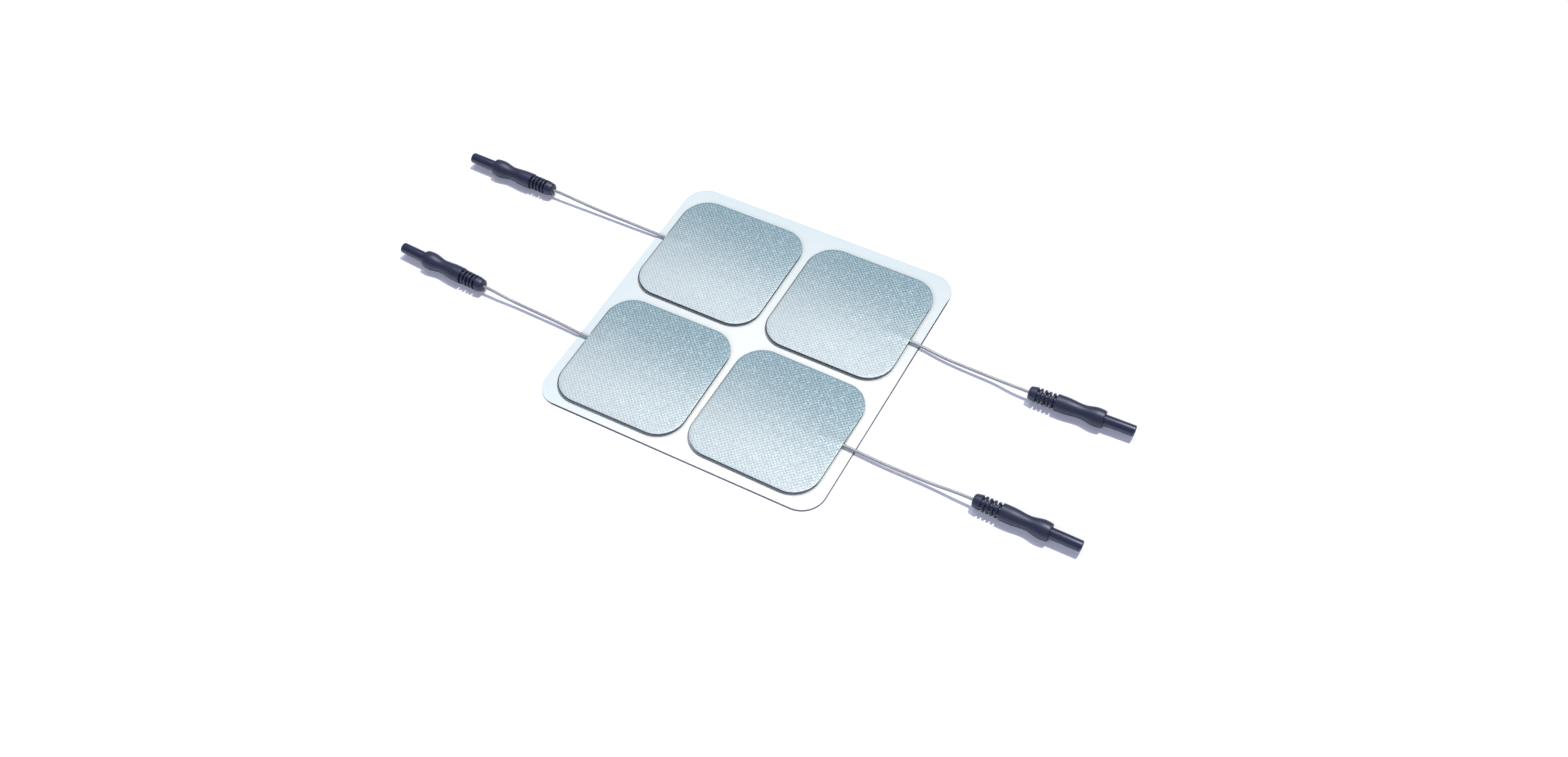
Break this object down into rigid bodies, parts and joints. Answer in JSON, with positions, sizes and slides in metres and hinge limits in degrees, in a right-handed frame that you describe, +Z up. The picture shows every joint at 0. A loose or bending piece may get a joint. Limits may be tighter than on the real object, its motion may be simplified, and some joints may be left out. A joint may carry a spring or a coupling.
{
  "type": "nerve stimulation electrode set",
  "caption": "Square self-adhesive nerve stimulation electrodes on a release liner, each with a short lead ending in a female pin connector.",
  "frame": {"origin": "under the middle of the release liner, on the surface it lies on", "axes": "+Z up, out of the liner's face; +X along the leads, towards the right-hand connectors; +Y towards the back pair of electrodes, whose margin of liner is wider"},
  "size_m": [0.2803, 0.115, 0.0068],
  "materials": {
    "liner_film": "glossy release film, pale blue-white",
    "skin_gel": "tacky dark grey hydrogel",
    "carbon_film": "matte carbon-loaded film",
    "cover_cloth": "silver-grey knitted cloth with a fine grain",
    "bare_strands": "fine bare metal strands",
    "lead_jacket": "smooth light grey insulation",
    "soft_grip": "satin blue-black soft moulding",
    "stiff_sleeve": "satin blue-black hard plastic",
    "plated_contact": "bright nickel plating on brass"
  },
  "bodies": {
    "liner": {"release_liner": "liner_film"},
    "electrode_back_left": {"hydrogel_back_left": "skin_gel", "carbon_film_back_left": "carbon_film", "cover_cloth_back_left": "cover_cloth", "lead_conductor_back_left": "bare_strands", "lead_jacket_back_left": "lead_jacket", "connector_grip_back_left": "soft_grip", "connector_sleeve_back_left": "stiff_sleeve", "socket_contact_back_left": "plated_contact"},
    "electrode_back_right": {"hydrogel_back_right": "skin_gel", "carbon_film_back_right": "carbon_film", "cover_cloth_back_right": "cover_cloth", "lead_conductor_back_right": "bare_strands", "lead_jacket_back_right": "lead_jacket", "connector_grip_back_right": "soft_grip", "connector_sleeve_back_right": "stiff_sleeve", "socket_contact_back_right": "plated_contact"},
    "electrode_front_left": {"hydrogel_front_left": "skin_gel", "carbon_film_front_left": "carbon_film", "cover_cloth_front_left": "cover_cloth", "lead_conductor_front_left": "bare_strands", "lead_jacket_front_left": "lead_jacket", "connector_grip_front_left": "soft_grip", "connector_sleeve_front_left": "stiff_sleeve", "socket_contact_front_left": "plated_contact"},
    "electrode_front_right": {"hydrogel_front_right": "skin_gel", "carbon_film_front_right": "carbon_film", "cover_cloth_front_right": "cover_cloth", "lead_conductor_front_right": "bare_strands", "lead_jacket_front_right": "lead_jacket", "connector_grip_front_right": "soft_grip", "connector_sleeve_front_right": "stiff_sleeve", "socket_contact_front_right": "plated_contact"}
  },
  "joints": [
    {"name": "peel_back_left", "type": "slide", "parent": "liner", "child": "electrode_back_left", "axis": [0, 0, 1], "range_m": [0, 0.04]},
    {"name": "peel_back_right", "type": "slide", "parent": "liner", "child": "electrode_back_right", "axis": [0, 0, 1], "range_m": [0, 0.04]},
    {"name": "peel_front_left", "type": "slide", "parent": "liner", "child": "electrode_front_left", "axis": [0, 0, 1], "range_m": [0, 0.04]},
    {"name": "peel_front_right", "type": "slide", "parent": "liner", "child": "electrode_front_right", "axis": [0, 0, 1], "range_m": [0, 0.04]}
  ]
}
